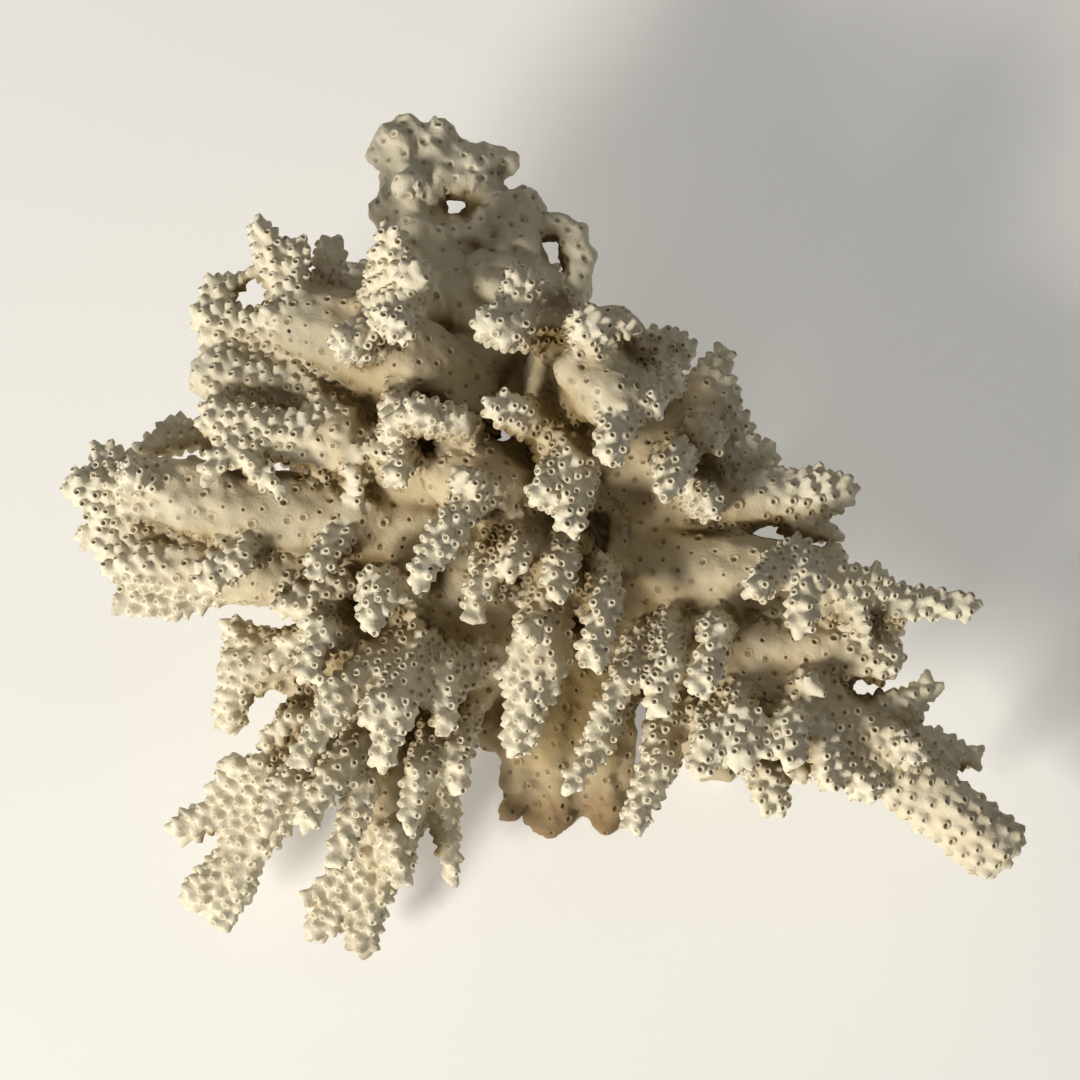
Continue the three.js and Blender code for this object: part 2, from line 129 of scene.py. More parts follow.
def blur(field, radius):
    """A Gaussian blur whose standard deviation is the radius."""
    sigma = radius / VOXEL
    reach = int(math.ceil(2.5 * sigma))
    weights = np.exp(-0.5 * (np.arange(-reach, reach + 1) / sigma) ** 2)
    weights /= weights.sum()
    for axis in range(3):
        padding = [(0, 0)] * 3
        padding[axis] = (reach, reach)
        padded = np.pad(field, padding, mode="edge")
        total = np.zeros_like(field)
        for i, weight in enumerate(weights):
            window = [slice(None)] * 3
            window[axis] = slice(i, i + field.shape[axis])
            total += np.float32(weight) * padded[tuple(window)]
        field = total
    return field


def height_above_ground():
    layers = (np.arange(GRID_SHAPE[2]) + GRID_FIRST[2]) * VOXEL
    return np.broadcast_to(layers.astype(np.float32), GRID_SHAPE)


def drawn_down(field):
    """The field with the foot's outline at FOOT_HEIGHT carried on straight down past the cut."""
    layer = int(FOOT_HEIGHT / VOXEL) - GRID_FIRST[2]
    longer = field.copy()
    longer[:, :, :layer] = field[:, :, layer:layer + 1]
    return longer


def coral_fields(nodes):
    """The softened distance to the whole coral, and for each grid point which node is nearest."""
    nearest = None
    for index, obj in enumerate(nodes):
        points, triangles = node_triangles(obj)
        distance = distance_to(points, triangles=triangles.astype(np.uint32))
        soft = blur(distance, SEAM_SOFTEN)
        if nearest is None:
            whole, nearest, owner = distance, soft, np.zeros(GRID_SHAPE, np.int8)
            continue
        whole = np.minimum(whole, distance)
        owner[soft < nearest] = index
        nearest = np.minimum(nearest, soft)
    points, quads = zero_surface(whole - FORK_CLOSE)
    whole = drawn_down(distance_to(points, quads=quads) + FORK_CLOSE)
    whole = blur(whole, SOFTEN) + TRIM
    return np.maximum(whole, -height_above_ground()), owner


def sample(field, points):
    """The field's value at each point, by linear interpolation."""
    place = points / VOXEL - GRID_FIRST
    place = np.clip(place, 0, np.array(GRID_SHAPE) - 1.001)
    cell = place.astype(int)
    share = place - cell
    total = np.zeros(len(points))
    for corner in np.ndindex(2, 2, 2):
        weight = np.prod(np.where(corner, share, 1 - share), axis=1)
        i, j, k = (cell + corner).T
        total += weight * field[i, j, k]
    return total


def gradient(field, points):
    step = 0.6 * VOXEL
    offsets = np.eye(3) * step
    changes = [sample(field, points + offset) - sample(field, points - offset) for offset in offsets]
    return np.stack(changes, 1) / (2 * step)


def unit(vectors):
    return vectors / np.maximum(np.linalg.norm(vectors, axis=-1, keepdims=True), 1e-9)


# ---- The one surface ----

def surface_of(field):
    """Points and quads of the field's zero surface, with the faces turned outward."""
    points, quads = zero_surface(field)
    points = points.astype(float)
    quads = quads.astype(np.int64)
    middle = points[quads].mean(1)
    first, second, third, fourth = (points[quads[:, i]] for i in range(4))
    across = np.cross(third - first, fourth - second)
    if np.einsum("ij,ij->", across, middle) < 0:
        quads = quads[:, ::-1]
    return points, quads


def main_body(points, quads):
    """Leaves out any crumb that isn't joined to the coral."""
    label = np.arange(len(points))
    while True:
        lowest = label[quads].min(1)
        spread = label.copy()
        for corner in range(4):
            np.minimum.at(spread, quads[:, corner], lowest)
        spread = spread[spread]
        if np.array_equal(spread, label):
            break
        label = spread
    biggest = np.bincount(label).argmax()
    kept = label == biggest
    renumber = np.cumsum(kept) - 1
    return points[kept], renumber[quads[kept[quads[:, 0]]]]


def edges_of(quads):
    ends = np.concatenate([quads[:, [i, (i + 1) % 4]] for i in range(4)])
    return np.unique(np.sort(ends, 1), axis=0)


def neighbour_mean(values, edges):
    """For each point, the mean of a value over the points that it shares an edge with."""
    a, b = edges.T
    count = np.bincount(a, minlength=len(values)) + np.bincount(b, minlength=len(values))
    columns = values.reshape(len(values), -1)
    means = [
        (np.bincount(a, c[b], len(values)) + np.bincount(b, c[a], len(values))) / np.maximum(count, 1)
        for c in columns.T
    ]
    return np.stack(means, 1).reshape(values.shape)


def even_out(points, edges, field, rounds=4, least_steep=0.2):
    """Spreads the points evenly, and puts them back on the surface after each round."""
    for _ in range(rounds):
        points = 0.5 * points + 0.5 * neighbour_mean(points, edges)
        for _ in range(2):
            slope = gradient(field, points)
            steep = np.maximum((slope ** 2).sum(1), least_steep)
            points = points - slope * (sample(field, points) / steep)[:, None]
    return points


# ---- What the surface knows about itself ----

def reach_from_foot(points, edges):
    """The distance along the surface from the cut foot, by Dijkstra's method."""
    length = np.linalg.norm(points[edges[:, 0]] - points[edges[:, 1]], axis=1)
    both = np.concatenate([edges, edges[:, ::-1]])
    cost = np.concatenate([length, length])
    order = np.argsort(both[:, 0], kind="stable")
    start = np.searchsorted(both[order, 0], np.arange(len(points) + 1)).tolist()
    to = both[order, 1].tolist()
    step = cost[order].tolist()
    reach = [math.inf] * len(points)
    queue = []
    for i in np.flatnonzero(points[:, 2] < VOXEL).tolist():
        reach[i] = 0.0
        queue.append((0.0, i))
    heapq.heapify(queue)
    while queue:
        here, i = heapq.heappop(queue)
        if here > reach[i]:
            continue
        for k in range(start[i], start[i + 1]):
            there = here + step[k]
            if there < reach[to[k]]:
                reach[to[k]] = there
                heapq.heappush(queue, (there, to[k]))
    reach = np.array(reach)
    reach[np.isinf(reach)] = 0
    for _ in range(3):
        reach = neighbour_mean(reach, edges)
    return reach


def growth_direction(points, edges, normals, reach):
    """At each point, the way along the surface that leads away from the foot, toward a tip."""
    a, b = edges.T
    along = points[b] - points[a]
    slope = ((reach[b] - reach[a]) / np.maximum((along ** 2).sum(1), 1e-6))[:, None] * along
    total = np.stack([
        np.bincount(a, s, len(points)) + np.bincount(b, s, len(points)) for s in slope.T], 1)
    for _ in range(6):  # smooths the directions along the surface
        total = 0.4 * total + 0.6 * neighbour_mean(total, edges)
    total -= normals * np.einsum("ij,ij->i", total, normals)[:, None]
    return unit(total)


PROBE_DEPTHS = np.arange(1.0, 7.5, 0.8)  # depths under the skin at which the field is read


def shoot_radius(points, normals, edges, field):
    """Half the thickness of the shoot under each point."""
    deepest = np.zeros(len(points))
    for depth in PROBE_DEPTHS:
        deepest = np.minimum(deepest, sample(field, points - normals * depth))
    radius = -deepest
    for _ in range(4):
        radius = neighbour_mean(radius, edges)
    return radius


# How crowded a place is, read at two distances out from the skin in a blurred copy of the solid.
CLOSE_BY = dict(blur=3.0, out=2.5, weight=1.4)
FURTHER_OFF = dict(blur=4.0, out=6.5, weight=1.8)
OPEN_SCORE = 0.4  # what an open tip scores from its own bulk


def crowding(filled, points, normals, look):
    return look["weight"] * sample(blur(filled, look["blur"]), points + normals * look["out"])


def hollowness(points, normals, field):
    """0 on an open tip, 1 deep between the branches; the tan to olive tint that it lays on is partly
    stain and partly painted shade.
    """
    filled = np.clip(0.5 - field / VOXEL, 0, 1).astype(np.float32)
    near = crowding(filled, points, normals, CLOSE_BY)
    far = crowding(filled, points, normals, FURTHER_OFF)
    return np.clip(near + far - OPEN_SCORE, 0, 1)


def ease(value, low, high):
    share = np.clip((value - low) / (high - low), 0, 1)
    return share * share * (3 - 2 * share)


def noise(points, size, seed):
    """Smooth seeded noise between -1 and 1, with lumps about as wide as the size."""
    table = np.random.default_rng(seed).uniform(-1, 1, (64, 64, 64))
    place = points / size
    cell = np.floor(place).astype(int)
    share = place - cell
    share = share * share * (3 - 2 * share)
    total = np.zeros(len(points))
    for corner in np.ndindex(2, 2, 2):
        weight = np.prod(np.where(corner, share, 1 - share), axis=1)
        i, j, k = ((cell + corner) % 64).T
        total += weight * table[i, j, k]
    return total


# ---- Age, wear and lumps ----

# Lumps of the skin: the height of each, the width of its noise and the seed.
SKIN_LUMPS = ((0.25, 5.0, 1), (0.2, 2.4, 2), (0.2, 1.3, 6))
CRUST_LUMPS = ((1.4, 5.0, 3), (1.2, 2.8, 4), (0.6, 1.5, 5))
FOOT_LUMPS = ((0.9, 4.2, 13), (0.5, 2.0, 14))
CRUST_SWELL = 0.6  # the crust is thicker than the skin that it stands on
LIMB_SWELL = 0.45  # a limb is swollen by this, since its pores add nothing to its size
TWIG_THINNING = 0.3  # share of its radius that a branchlet gives up to the scales on it
MOST_THINNING = 0.55  # and the most that it gives up
WEAR_PATCH = 9.0  # width of the scattered worn patches, and of the patches with few cups
SPARSE_PATCH = 7.0
WORN_SPREAD = 0.45  # how much wider the cups' gaps are where the coral is worn, or cups are sparse
SPARSE_SPREAD = 0.35


def share_of(owner, node_names, names, edges, rounds):
    """1 on the named nodes and 0 elsewhere, softened where they meet."""
    share = np.isin(owner, [names.index(name) for name in node_names]).astype(float)
    for _ in range(rounds):
        share = neighbour_mean(share, edges)
    return share


def worn_share(points, owner, names, edges):
    """Nearly 1 on the two eroded top limbs, and less in scattered patches."""
    eroded = share_of(owner, ["top_limb", "top_arch_limb"], names, edges, 20)
    patches = ease(noise(points, WEAR_PATCH, 11), 0.25, 0.7)
    return np.clip(eroded * 0.9 + 0.35 * patches, 0, 1)


def twig_share(points, radius, old):
    """1 where the skin is a branchlet's: on thin shoots, and partly on all that is young."""
    young = ease(np.hypot(points[:, 0], points[:, 1]), YOUNG_FROM, YOUNG_TO)
    return np.maximum(1 - ease(radius, TWIG_RADIUS, LIMB_RADIUS), 0.6 * young) * (1 - old)


def lumps(points, table):
    return sum(height * noise(points, width, seed) for height, width, seed in table)


def roughened(points, normals, radius, twig, worn, old):
    """The skin with its lumps: gentle everywhere, deep on worn limbs. Branchlets are thinned."""
    rise = lumps(points, SKIN_LUMPS)
    rise += worn * (lumps(points, CRUST_LUMPS) + CRUST_SWELL)
    rise += old * lumps(points, FOOT_LUMPS)
    rise -= twig * (1 - worn) * np.minimum(MOST_THINNING, TWIG_THINNING * radius)
    rise += LIMB_SWELL * (1 - twig)
    return points + normals * rise[:, None]


def cup_gaps(points, twig, worn):
    """The least distance from each point's cup to the next one."""
    gap = CUP_GAP_LIMB + (CUP_GAP_TWIG - CUP_GAP_LIMB) * twig
    sparse = ease(noise(points, SPARSE_PATCH, 12), 0.0, 0.8)
    return gap * (1 + WORN_SPREAD * worn + SPARSE_SPREAD * (1 - twig) * sparse)


# ---- Cups ----

CELLS_AROUND = list(itertools.product((-1, 0, 1), repeat=3))


def in_cells_around(cells, key):
    """What a dictionary of grid cells holds in the cell with the key and in the 26 around it."""
    i, j, k = key
    return [thing for a, b, c in CELLS_AROUND for thing in cells.get((i + a, j + b, k + c), ())]


def cup_centres(points, gap, allowed):
    """Points picked in a seeded random order, each at least its own gap from those before it."""
    cells = {}
    keys = np.floor(points / gap.max()).astype(int).tolist()
    places = points.tolist()
    gaps = gap.tolist()
    chosen = []
    for i in random.permutation(np.flatnonzero(allowed)).tolist():
        x, y, z = places[i]
        least = gaps[i] * gaps[i]
        others = in_cells_around(cells, keys[i])
        if all((x - u) ** 2 + (y - v) ** 2 + (z - w) ** 2 >= least for u, v, w in others):
            chosen.append(i)
            cells.setdefault(tuple(keys[i]), []).append((x, y, z))
    return chosen


def quads_round(quads, count):
    """For each point, the quads that hold it."""
    corner_point = quads.ravel()
    order = np.argsort(corner_point, kind="stable")
    start = np.searchsorted(corner_point[order], np.arange(count + 1))
    return order // 4, start


def ring_round(centre, quad_ids, quads):
    """The closed ring of points round a centre, in the faces' own turning sense, or None."""
    follow = {}
    for q in quad_ids:
        corners = quads[q]
        at = corners.index(centre)
        first, diagonal, last = (corners[(at + i) % 4] for i in (1, 2, 3))
        follow[first] = (diagonal, last)
    ring = []
    here = next(iter(follow))
    for _ in range(len(follow)):
        if here not in follow:
            return None
        diagonal, last = follow.pop(here)
        ring += [here, diagonal]
        here = last
    return ring if here == ring[0] and len(set(ring)) == len(ring) else None


# A cup on a fresh branchlet, on a limb and where the coral is worn: radius of its foot, radius and
# height of its rim, mouth radius, pit depth, lean toward the tip, and height of the scale it ends.
CUP_LOOKS = {
    "twig": dict(foot=0.82, rim=0.55, height=0.17, mouth=0.35, depth=0.75, lean=0.75, scale=0.85),
    "limb": dict(foot=0.84, rim=0.60, height=0.02, mouth=0.44, depth=0.75, lean=0.1, scale=0.05),
    "worn": dict(foot=0.84, rim=0.66, height=-0.05, mouth=0.44, depth=0.45, lean=0.0, scale=-0.1),
}
HEIGHT_RANGE = (0.55, 1.35)  # factors by which rim heights and leans vary from cup to cup
LEAN_RANGE = (0.6, 1.3)
TWIG_SIZE_SPREAD = 0.12  # how cup widths vary on a branchlet, and how much more on a limb
LIMB_EXTRA_SPREAD = 0.28
RIM_TILT = 0.5  # a leaning cup's rim is lower on the tip's side by this share of its height
MOUTH_RISE = 0.02  # how far the inner edge of a rim stands over its outer edge
FOOT_PULL = 0.7  # how far the mesh round a cup moves onto the cup's foot
# A scale is a low rounded ridge that rises toward the tip and ends in its cup.
SCALE_BEHIND = 1.7  # how far it reaches behind the cup, ahead of it and to each side
SCALE_AHEAD = 0.95
SCALE_ASIDE = 1.0
SCALE_SWEEP = 0.5  # how far its crest is swept toward the tip, for each millimetre of height
RIM_MARK = -1.0  # marks left on the points of a rim and of a mouth
MOUTH_MARK = 0.2


def cup_shapes(twig, worn):
    """Each cup's own measures, mixed from the three looks."""
    shapes = {}
    for key, on_limb in CUP_LOOKS["limb"].items():
        mixed = on_limb + (CUP_LOOKS["twig"][key] - on_limb) * twig
        shapes[key] = mixed + (CUP_LOOKS["worn"][key] - mixed) * worn
    count = len(twig)
    shapes["height"] = shapes["height"] * random.uniform(*HEIGHT_RANGE, count)
    spread = TWIG_SIZE_SPREAD + LIMB_EXTRA_SPREAD * (1 - twig)
    size = 1 + spread * random.uniform(-1, 1, count)
    shapes["rim"] = shapes["rim"] * size
    shapes["mouth"] = shapes["mouth"] * size
    shapes["lean"] = shapes["lean"] * random.uniform(*LEAN_RANGE, count)
    return shapes


def raise_scales(points, normals, tipward, centres, shapes):
    """Lifts the skin into a rounded scale that ends at each cup."""
    cells = {}
    for index, centre in enumerate(points[centres]):
        cells.setdefault(tuple(np.floor(centre / SCALE_BEHIND).astype(int)), []).append(index)
    along = tipward[centres]
    aside = np.cross(normals[centres], along)
    lift = np.zeros(len(points))
    keys = np.floor(points / SCALE_BEHIND).astype(int)
    order = np.lexsort(keys.T)
    changes = np.flatnonzero(np.any(np.diff(keys[order], axis=0), 1)) + 1
    for group in np.split(order, changes):
        near = in_cells_around(cells, keys[group[0]])
        if not near:
            continue
        offset = points[group][:, None] - points[centres][near][None]
        forward = np.einsum("pcx,cx->pc", offset, along[near])
        sideways = np.einsum("pcx,cx->pc", offset, aside[near]) / SCALE_ASIDE
        beyond = (offset ** 2).sum(2) / SCALE_BEHIND ** 2
        forward = np.where(forward < 0, forward / SCALE_BEHIND, forward / SCALE_AHEAD)
        rise = np.clip(1 - forward ** 2 - sideways ** 2, 0, 1) * (beyond < 1) * shapes["scale"][near]
        best = np.abs(rise).argmax(1)
        lift[group] = rise[np.arange(len(group)), best]
    return points + (normals + SCALE_SWEEP * tipward) * lift[:, None]


def cup_circles(middle, axis, toward, ring_points, shape):
    """A cup's foot, rim and mouth as circles of points, in step with the ring of mesh points."""
    across = np.cross(axis, toward)
    outer = ring_points - middle
    angles = np.unwrap(np.arctan2(outer @ across, outer @ toward))
    turn = 1.0 if angles[-1] > angles[0] else -1.0
    even = turn * 2 * math.pi * np.arange(len(outer)) / len(outer)
    even += (angles - even).mean()
    way = np.cos(even)[:, None] * toward + np.sin(even)[:, None] * across
    foot = middle + way * shape["foot"] + axis * (outer @ axis).mean()
    lip = shape["height"] * (1 - RIM_TILT * np.cos(even) * min(1.0, shape["lean"]))
    rim = middle + way * shape["rim"] + axis * lip[:, None]
    mouth = middle + way * shape["mouth"] + axis * (lip + MOUTH_RISE)[:, None]
    return foot, rim, mouth


def cup_triangles(rings, centre):
    """Walls between one ring of point numbers and the next, then a cone down to the pit."""
    triangles = []
    for lower, upper in zip(rings, rings[1:]):
        after_lower, after_upper = np.roll(lower, -1), np.roll(upper, -1)
        triangles.append(np.stack([lower, after_lower, after_upper], 1))
        triangles.append(np.stack([lower, after_upper, upper], 1))
    inner = rings[-1]
    triangles.append(np.stack([inner, np.roll(inner, -1), np.full(len(inner), centre)], 1))
    return np.concatenate(triangles)


def stamp_cups(points, quads, normals, tipward, centres, shapes):
    """Replaces the quads round each centre by a rim, a mouth and a pit.

    Returns the points, the triangles, a mesh point that each triangle came from, and a mark for
    each point: 1 at the bottom of a pit, RIM_MARK on a rim, MOUTH_MARK at a mouth and 0 elsewhere.
    """
    holders, start = quads_round(quads, len(points))
    quad_list = quads.tolist()
    used = np.zeros(len(quads), bool)
    points = points.copy()
    marks = np.zeros(len(points))
    new_points, new_marks, triangles, sources = [], [], [], []
    next_point = len(points)
    for index, centre in enumerate(centres):
        quad_ids = holders[start[centre]:start[centre + 1]]
        ring = ring_round(centre, quad_ids.tolist(), quad_list)
        if used[quad_ids].any() or ring is None or len(ring) < 6:
            continue
        used[quad_ids] = True
        shape = {key: values[index] for key, values in shapes.items()}
        middle = points[centre]
        axis = unit(normals[centre] + shape["lean"] * tipward[centre])
        toward = unit(tipward[centre] - axis * (tipward[centre] @ axis))
        foot, rim, mouth = cup_circles(middle, axis, toward, points[ring], shape)
        points[ring] = (1 - FOOT_PULL) * points[ring] + FOOT_PULL * foot
        points[centre] = middle - axis * shape["depth"]
        marks[centre] = 1.0
        count = len(ring)
        rim_numbers = next_point + np.arange(count)
        mouth_numbers = rim_numbers + count
        next_point += 2 * count
        new_points += [rim, mouth]
        new_marks += [np.full(count, RIM_MARK), np.full(count, MOUTH_MARK)]
        cup = cup_triangles([np.array(ring), rim_numbers, mouth_numbers], centre)
        triangles.append(cup)
        sources.append(np.full(len(cup), centre))
    kept = quads[~used]
    split = np.concatenate([kept[:, [0, 1, 2]], kept[:, [0, 2, 3]]])
    all_points = np.concatenate([points] + new_points)
    all_triangles = np.concatenate([split] + triangles)
    all_sources = np.concatenate([split[:, 0]] + sources)
    return all_points, all_triangles, all_sources, np.concatenate([marks] + new_marks)


# ---- Pieces ----

def point_normals(points, triangles):
    a, b, c = (points[triangles[:, i]] for i in range(3))
    across = np.cross(b - a, c - a)
    total = np.zeros_like(points)
    for corner in range(3):
        for axis in range(3):
            total[:, axis] += np.bincount(triangles[:, corner], across[:, axis], len(points))
    return unit(total)


def smooth_owner(owner, edges, count, own_vote=0.3):
    """Rubs out small islands in the division between the nodes, by a vote of the neighbours."""
    for _ in range(6):
        shares = [neighbour_mean((owner == i).astype(float), edges) for i in range(count)]
        votes = np.stack(shares, 1)
        votes[np.arange(len(owner)), owner] += own_vote
        owner = votes.argmax(1)
    return owner


def make_piece(name, points, triangles, normals, looks, material):
    """One node's share of the surface, with its looks as point attributes."""
    used = np.unique(triangles)
    renumber = np.zeros(len(points), int)
    renumber[used] = np.arange(len(used))
    own_points = points[used]
    own_triangles = renumber[triangles]
    mesh = bpy.data.meshes.new(name)
    mesh.vertices.add(len(own_points))
    mesh.vertices.foreach_set("co", (own_points / MM).astype(np.float32).ravel())
    mesh.loops.add(own_triangles.size)
    mesh.loops.foreach_set("vertex_index", own_triangles.astype(np.int32).ravel())
    mesh.polygons.add(len(own_triangles))
    mesh.polygons.foreach_set("loop_start", np.arange(0, own_triangles.size, 3, dtype=np.int32))
    mesh.update(calc_edges=True)
    mesh.shade_smooth()
    for look, values in looks.items():
        data = mesh.attributes.new(look, "FLOAT", "POINT").data
        data.foreach_set("value", values[used].astype(np.float32))
    mesh.normals_split_custom_set_from_vertices(normals[used].astype(np.float32))
    mesh.materials.append(material)
    piece = bpy.data.objects.new(name, mesh)
    bpy.context.scene.collection.objects.link(piece)
    return piece


# ---- Material ----

def new_material(name):
    material = bpy.data.materials.new(name)
    material.use_nodes = True
    nodes = material.node_tree.nodes
    return material, nodes, material.node_tree.links, nodes["Principled BSDF"]


def attribute(nodes, name):
    node = nodes.new("ShaderNodeAttribute")
    node.attribute_name = name
    return node.outputs["Fac"]


def noise_texture(nodes, links, place, scale, detail, roughness=0.55):
    node = nodes.new("ShaderNodeTexNoise")
    node.inputs["Scale"].default_value = scale
    node.inputs["Detail"].default_value = detail
    node.inputs["Roughness"].default_value = roughness
    links.new(place, node.inputs["Vector"])
    return node.outputs["Fac"]


def remap(nodes, links, value, low, high, to_low=0.0, to_high=1.0):
    """The value eased from one range to another."""
    node = nodes.new("ShaderNodeMapRange")
    node.interpolation_type = "SMOOTHSTEP"
    links.new(value, node.inputs["Value"])
    numbers = {"From Min": low, "From Max": high, "To Min": to_low, "To Max": to_high}
    for socket, number in numbers.items():
        node.inputs[socket].default_value = number
    return node.outputs["Result"]


def multiply(nodes, links, a, b):
    node = nodes.new("ShaderNodeMath")
    node.operation = "MULTIPLY"
    for socket, value in zip(node.inputs, (a, b)):
        if isinstance(value, float):
            socket.default_value = value
        else:
            links.new(value, socket)
    return node.outputs["Value"]


def tint(nodes, links, colour, share, other):
    """The colour with a share of another mixed in."""
    node = nodes.new("ShaderNodeMix")
    node.data_type = "RGBA"
    links.new(share, node.inputs["Factor"])
    if isinstance(colour, tuple):
        node.inputs["A"].default_value = (*colour, 1)
    else:
        links.new(colour, node.inputs["A"])
    node.inputs["B"].default_value = (*other, 1)
    return node.outputs["Result"]


def bumped(nodes, links, height, strength, distance, normal=None):
    """A bump from the height, laid over an earlier bump if its normal is given."""
    node = nodes.new("ShaderNodeBump")
    node.inputs["Strength"].default_value = strength
    node.inputs["Distance"].default_value = distance
    links.new(height, node.inputs["Height"])
    if normal is not None:
        links.new(normal, node.inputs["Normal"])
    return node.outputs["Normal"]


# Texture scales, in features to a metre.
PATCH_SCALE = 55
SPECK_SCALE = 190
MOTTLE_SCALE = 420
GRAIN_SCALE = 2600


def speck_pattern(nodes, links, place):
    """Small dark crumbs of dirt, one in every few cells of a Voronoi pattern."""
    cells = nodes.new("ShaderNodeTexVoronoi")
    cells.inputs["Scale"].default_value = SPECK_SCALE
    links.new(place, cells.inputs["Vector"])
    near = remap(nodes, links, cells.outputs["Distance"], 0.05, 0.085, 1.0, 0.0)
    parts = nodes.new("ShaderNodeSeparateColor")
    links.new(cells.outputs["Color"], parts.inputs["Color"])
    chosen = remap(nodes, links, parts.outputs["Red"], 0.74, 0.76)
    return multiply(nodes, links, near, chosen)


IVORY = (0.62, 0.53, 0.36)
CREAM = (0.86, 0.81, 0.66)
GREY = (0.50, 0.45, 0.33)
TAN = (0.42, 0.30, 0.14)
# Olive for the deepest hollows: partly stain, partly painted shade.
DEEP_OLIVE_STAIN_AND_SHADE = (0.16, 0.11, 0.035)
# Painted shade at the bottom of each pit, and fainter at its mouth.
PIT_SHADE = (0.30, 0.18, 0.07)
STAIN = (0.20, 0.12, 0.045)
SPECK = (0.03, 0.025, 0.02)


def coral_colour(nodes, links, place, mottle):
    """Ivory and grey patches, cream where fresh and open (partly a painted highlight), tan to olive
    where hollow (partly stain, partly painted shade), then a faint painted highlight on the rims, the
    stain, painted shade in the pits, and dirt.
    """
    patches = noise_texture(nodes, links, place, PATCH_SCALE, 3)
    hollow_stain_and_shade = attribute(nodes, "hollow_stain_and_shade")
    tan_stain_and_shade = multiply(nodes, links, hollow_stain_and_shade, 0.85)
    olive_stain_and_shade = remap(nodes, links, hollow_stain_and_shade, 0.3, 0.85, 0.0, 0.85)
    pit_shade_share = multiply(nodes, links, attribute(nodes, "pit"), 0.9)
    colour = tint(nodes, links, IVORY, remap(nodes, links, patches, 0.42, 0.66), GREY)
    # Cream where the skin is fresh and open: partly its own colour, partly a painted highlight.
    colour = tint(nodes, links, colour, attribute(nodes, "fresh_and_highlight"), CREAM)
    # Tan, and olive deeper in, where hollow: partly stain, partly painted shade.
    colour = tint(nodes, links, colour, tan_stain_and_shade, TAN)
    colour = tint(nodes, links, colour, olive_stain_and_shade, DEEP_OLIVE_STAIN_AND_SHADE)
    colour = tint(nodes, links, colour, remap(nodes, links, mottle, 0.54, 0.74, 0.0, 0.35), TAN)
    # Painted highlight: a faint cream on each cup's rim.
    colour = tint(nodes, links, colour, attribute(nodes, "rim"), CREAM)
    colour = tint(nodes, links, colour, attribute(nodes, "stain"), STAIN)
    # Painted shade in the pits.
    colour = tint(nodes, links, colour, pit_shade_share, PIT_SHADE)
    return tint(nodes, links, colour, speck_pattern(nodes, links, place), SPECK)


def coral_material():
    material, nodes, links, shader = new_material("bleached_coral")
    place = nodes.new("ShaderNodeTexCoord").outputs["Object"]
    mottle = noise_texture(nodes, links, place, MOTTLE_SCALE, 4)
    grain = noise_texture(nodes, links, place, GRAIN_SCALE, 5, 0.65)
    fine = bumped(nodes, links, grain, 0.55, 0.00025)
    coarse = bumped(nodes, links, mottle, 0.5, 0.0005, fine)
    links.new(coral_colour(nodes, links, place, mottle), shader.inputs["Base Color"])
    links.new(remap(nodes, links, mottle, 0.3, 0.7, 0.72, 0.95), shader.inputs["Roughness"])
    links.new(coarse, shader.inputs["Normal"])
    shader.inputs["Specular IOR Level"].default_value = 0.35
    return material


# ---- Studio ----

CAMERA_TILT = math.radians(20)  # from looking straight down, toward the front
CAMERA_DISTANCE = 0.45
CAMERA_LENS = 98.0
CROWN_HEIGHT = 0.036  # the camera looks at the middle of the crown, this far above the cut
WORLD_BRIGHTNESS = 0.13
FLOOR_HALF = 3.0


def add_camera():
    data = bpy.data.cameras.new("camera")
    data.lens = CAMERA_LENS
    data.clip_start = 0.01
    camera = bpy.data.objects.new("camera", data)
    back = -CAMERA_DISTANCE * math.sin(CAMERA_TILT)
    camera.location = (0, back, CROWN_HEIGHT + CAMERA_DISTANCE * math.cos(CAMERA_TILT))
    camera.rotation_euler = (CAMERA_TILT, 0, 0)
    bpy.context.scene.collection.objects.link(camera)
    bpy.context.scene.camera = camera


def add_area_light(name, toward, distance, size, power, colour):
    """A square lamp in the given direction from the coral, turned to face it."""
    data = bpy.data.lights.new(name, "AREA")
    data.size = size
    data.energy = power
    data.color = colour
    lamp = bpy.data.objects.new(name, data)
    way = np.array(toward) / np.linalg.norm(toward)
    lamp.location = way * distance + np.array([0, 0, CROWN_HEIGHT])
    lamp.rotation_euler = Vector(way).to_track_quat("Z", "Y").to_euler()
    bpy.context.scene.collection.objects.link(lamp)


def add_world():
    world = bpy.data.worlds.new("world")
    world.use_nodes = True
    background = world.node_tree.nodes["Background"]
    background.inputs["Color"].default_value = (1.0, 0.95, 0.86, 1)
    background.inputs["Strength"].default_value = WORLD_BRIGHTNESS
    bpy.context.scene.world = world


def add_floor():
    material, _, _, shader = new_material("pale_floor")
    shader.inputs["Base Color"].default_value = (0.86, 0.86, 0.85, 1)
    shader.inputs["Roughness"].default_value = 0.9
    shader.inputs["Emission Color"].default_value = (1.0, 0.99, 0.96, 1)
    shader.inputs["Emission Strength"].default_value = 0.25
    mesh = bpy.data.meshes.new("floor")
    signs = ((-1, -1), (1, -1), (1, 1), (-1, 1))
    corners = [(x * FLOOR_HALF, y * FLOOR_HALF, 0) for x, y in signs]
    mesh.from_pydata(corners, [], [(0, 1, 2, 3)])
    mesh.materials.append(material)
    floor = bpy.data.objects.new("floor", mesh)
    bpy.context.scene.collection.objects.link(floor)


def add_studio():
    """A pale floor, a low warm key from the front left and a wide soft lamp overhead."""
    add_floor()
    add_world()
    add_area_light("key", (-0.66, -0.72, 0.46), 1.2, 0.3, 16.0, (1.0, 0.95, 0.85))
    add_area_light("top_fill", (0.4, 0.3, 1.0), 1.4, 1.0, 1.2, (1.0, 0.96, 0.9))
    add_camera()
    bpy.context.scene.view_settings.view_transform = "Standard"


# ---- Assembly ----

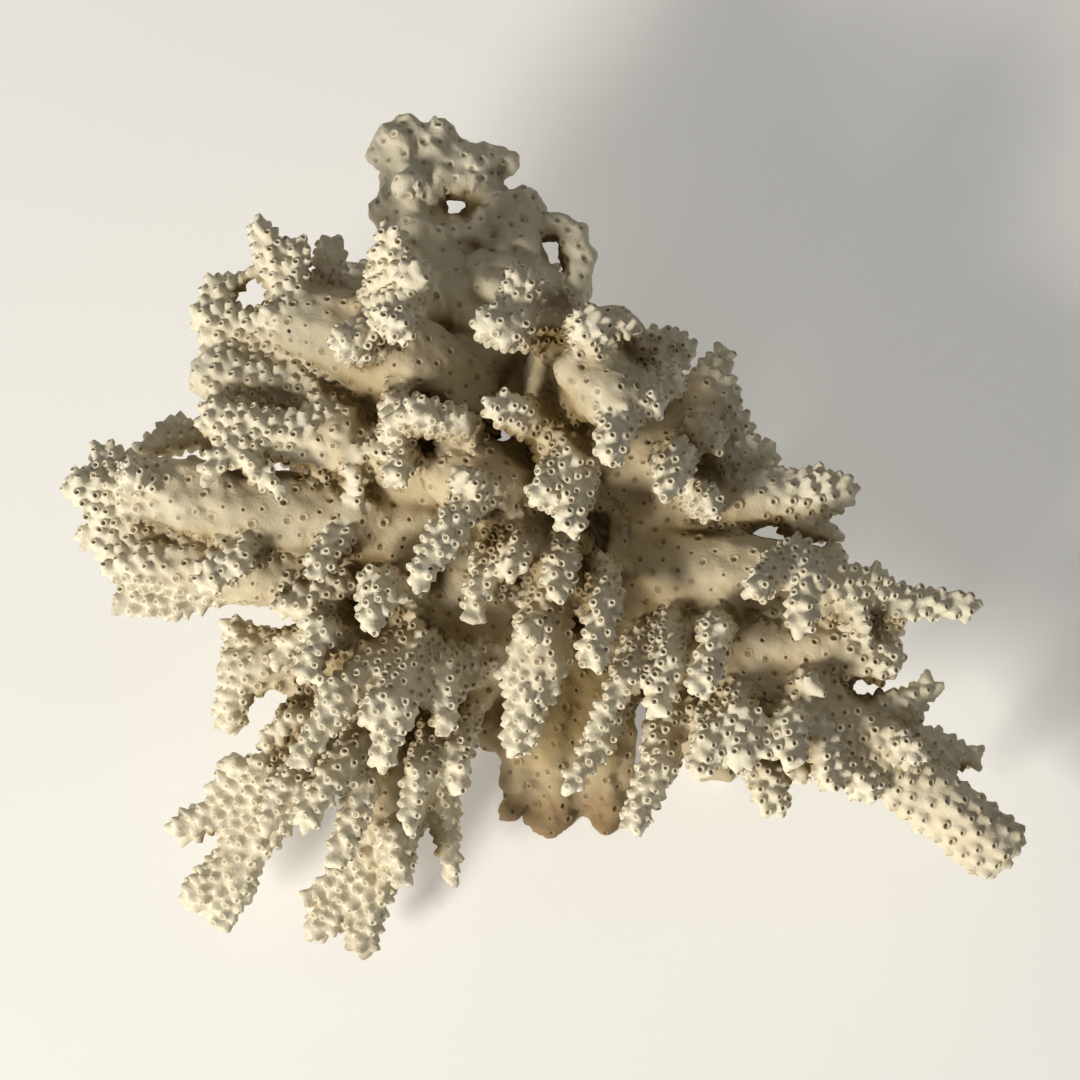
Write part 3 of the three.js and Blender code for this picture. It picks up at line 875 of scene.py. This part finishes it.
def node_at(points, owner_grid, names, edges):
    """Which node each point belongs to, as its place in the list of names."""
    cell = np.clip((points / VOXEL - GRID_FIRST).round().astype(int), 0, np.array(GRID_SHAPE) - 1)
    return smooth_owner(owner_grid[tuple(cell.T)].astype(int), edges, len(names))


def foot_age_and_shade(points, old):
    """The holdfast's old skin counts as somewhat hollow, and more so higher up toward the crown: partly
    its own older tone, partly painted shade under the limbs.
    """
    return old * (0.36 + 0.46 * ease(points[:, 2], 5, 17))


def origins(triangles, sources, first_count, count):
    """For each finished point, the point of the surface whose looks it takes."""
    corners = triangles.ravel()
    origin = np.arange(count)
    origin[corners] = np.where(corners < first_count, corners, np.repeat(sources, 3))
    return origin


def point_looks(points, twig, worn, hollow_stain_and_shade, marks, origin):
    """The shares that the material reads at each finished point."""
    # Cream on young branchlets and worn knobs, kept to open places: partly the fresh skin's own colour,
    # partly a painted highlight.
    fresh_and_highlight = np.maximum(0.75 * twig, 0.5 * worn) * (1 - hollow_stain_and_shade) ** 2
    front_of_foot = ease(-points[:, 1], 26, 36) * (1 - ease(points[:, 2], 5, 12))
    stain = 0.8 * front_of_foot
    return {
        # Painted shade at the bottom of each pit, fainter at its mouth.
        "pit": np.clip(marks, 0, 1),
        # A faint painted highlight on the rims, kept out of the hollows.
        "rim": 0.06 * (marks == RIM_MARK) * (1 - 0.8 * hollow_stain_and_shade[origin]),
        # How hollow each point is, for the tan to olive tint: partly stain, partly painted shade.
        "hollow_stain_and_shade": hollow_stain_and_shade[origin],
        "fresh_and_highlight": fresh_and_highlight[origin],
        "stain": stain[origin],
    }


names = sorted(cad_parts)
field, owner_grid = coral_fields([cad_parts[name] for name in names])
points, quads = main_body(*surface_of(field))
edges = edges_of(quads)
points = even_out(points, edges, field)
normals = unit(gradient(field, points))

owner = node_at(points, owner_grid, names, edges)
old = share_of(owner, ["holdfast"], names, edges, 10)
worn = worn_share(points, owner, names, edges)
tipward = growth_direction(points, edges, normals, reach_from_foot(points, edges))
radius = shoot_radius(points, normals, edges, field)
twig = twig_share(points, radius, old)
# How hollow each point is. It sets the tan to olive tint, which is partly stain and partly painted
# shade, and the holdfast is tinted the same way.
hollow_stain_and_shade = np.maximum(hollowness(points, normals, field), foot_age_and_shade(points, old))

on_cut = (points[:, 2] < VOXEL) & (normals[:, 2] < -0.5)
rough = roughened(points, normals, radius, twig, worn, old)
rough[on_cut, 2] = 0.0
cup_places = ~on_cut & (points[:, 2] > CUP_FLOOR)
centres = np.array(cup_centres(rough, cup_gaps(points, twig, worn), cup_places))
shapes = cup_shapes(twig[centres], np.clip(worn[centres] * 1.2, 0, 1))
skin = raise_scales(rough, normals, tipward, centres, shapes)
finished, triangles, sources, marks = stamp_cups(skin, quads, normals, tipward, centres.tolist(), shapes)
finished[:, 2] = np.maximum(finished[:, 2], 0.0)
finished_normals = point_normals(finished, triangles)

origin = origins(triangles, sources, len(points), len(finished))
looks = point_looks(points, twig, worn, hollow_stain_and_shade, marks, origin)
coral = coral_material()
triangle_owner = owner[sources]
for index, name in enumerate(names):
    mine = triangles[triangle_owner == index]
    piece = make_piece("coral_" + name, finished, mine, finished_normals, looks, coral)
    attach(piece, "root")
    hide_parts(name)

add_studio()
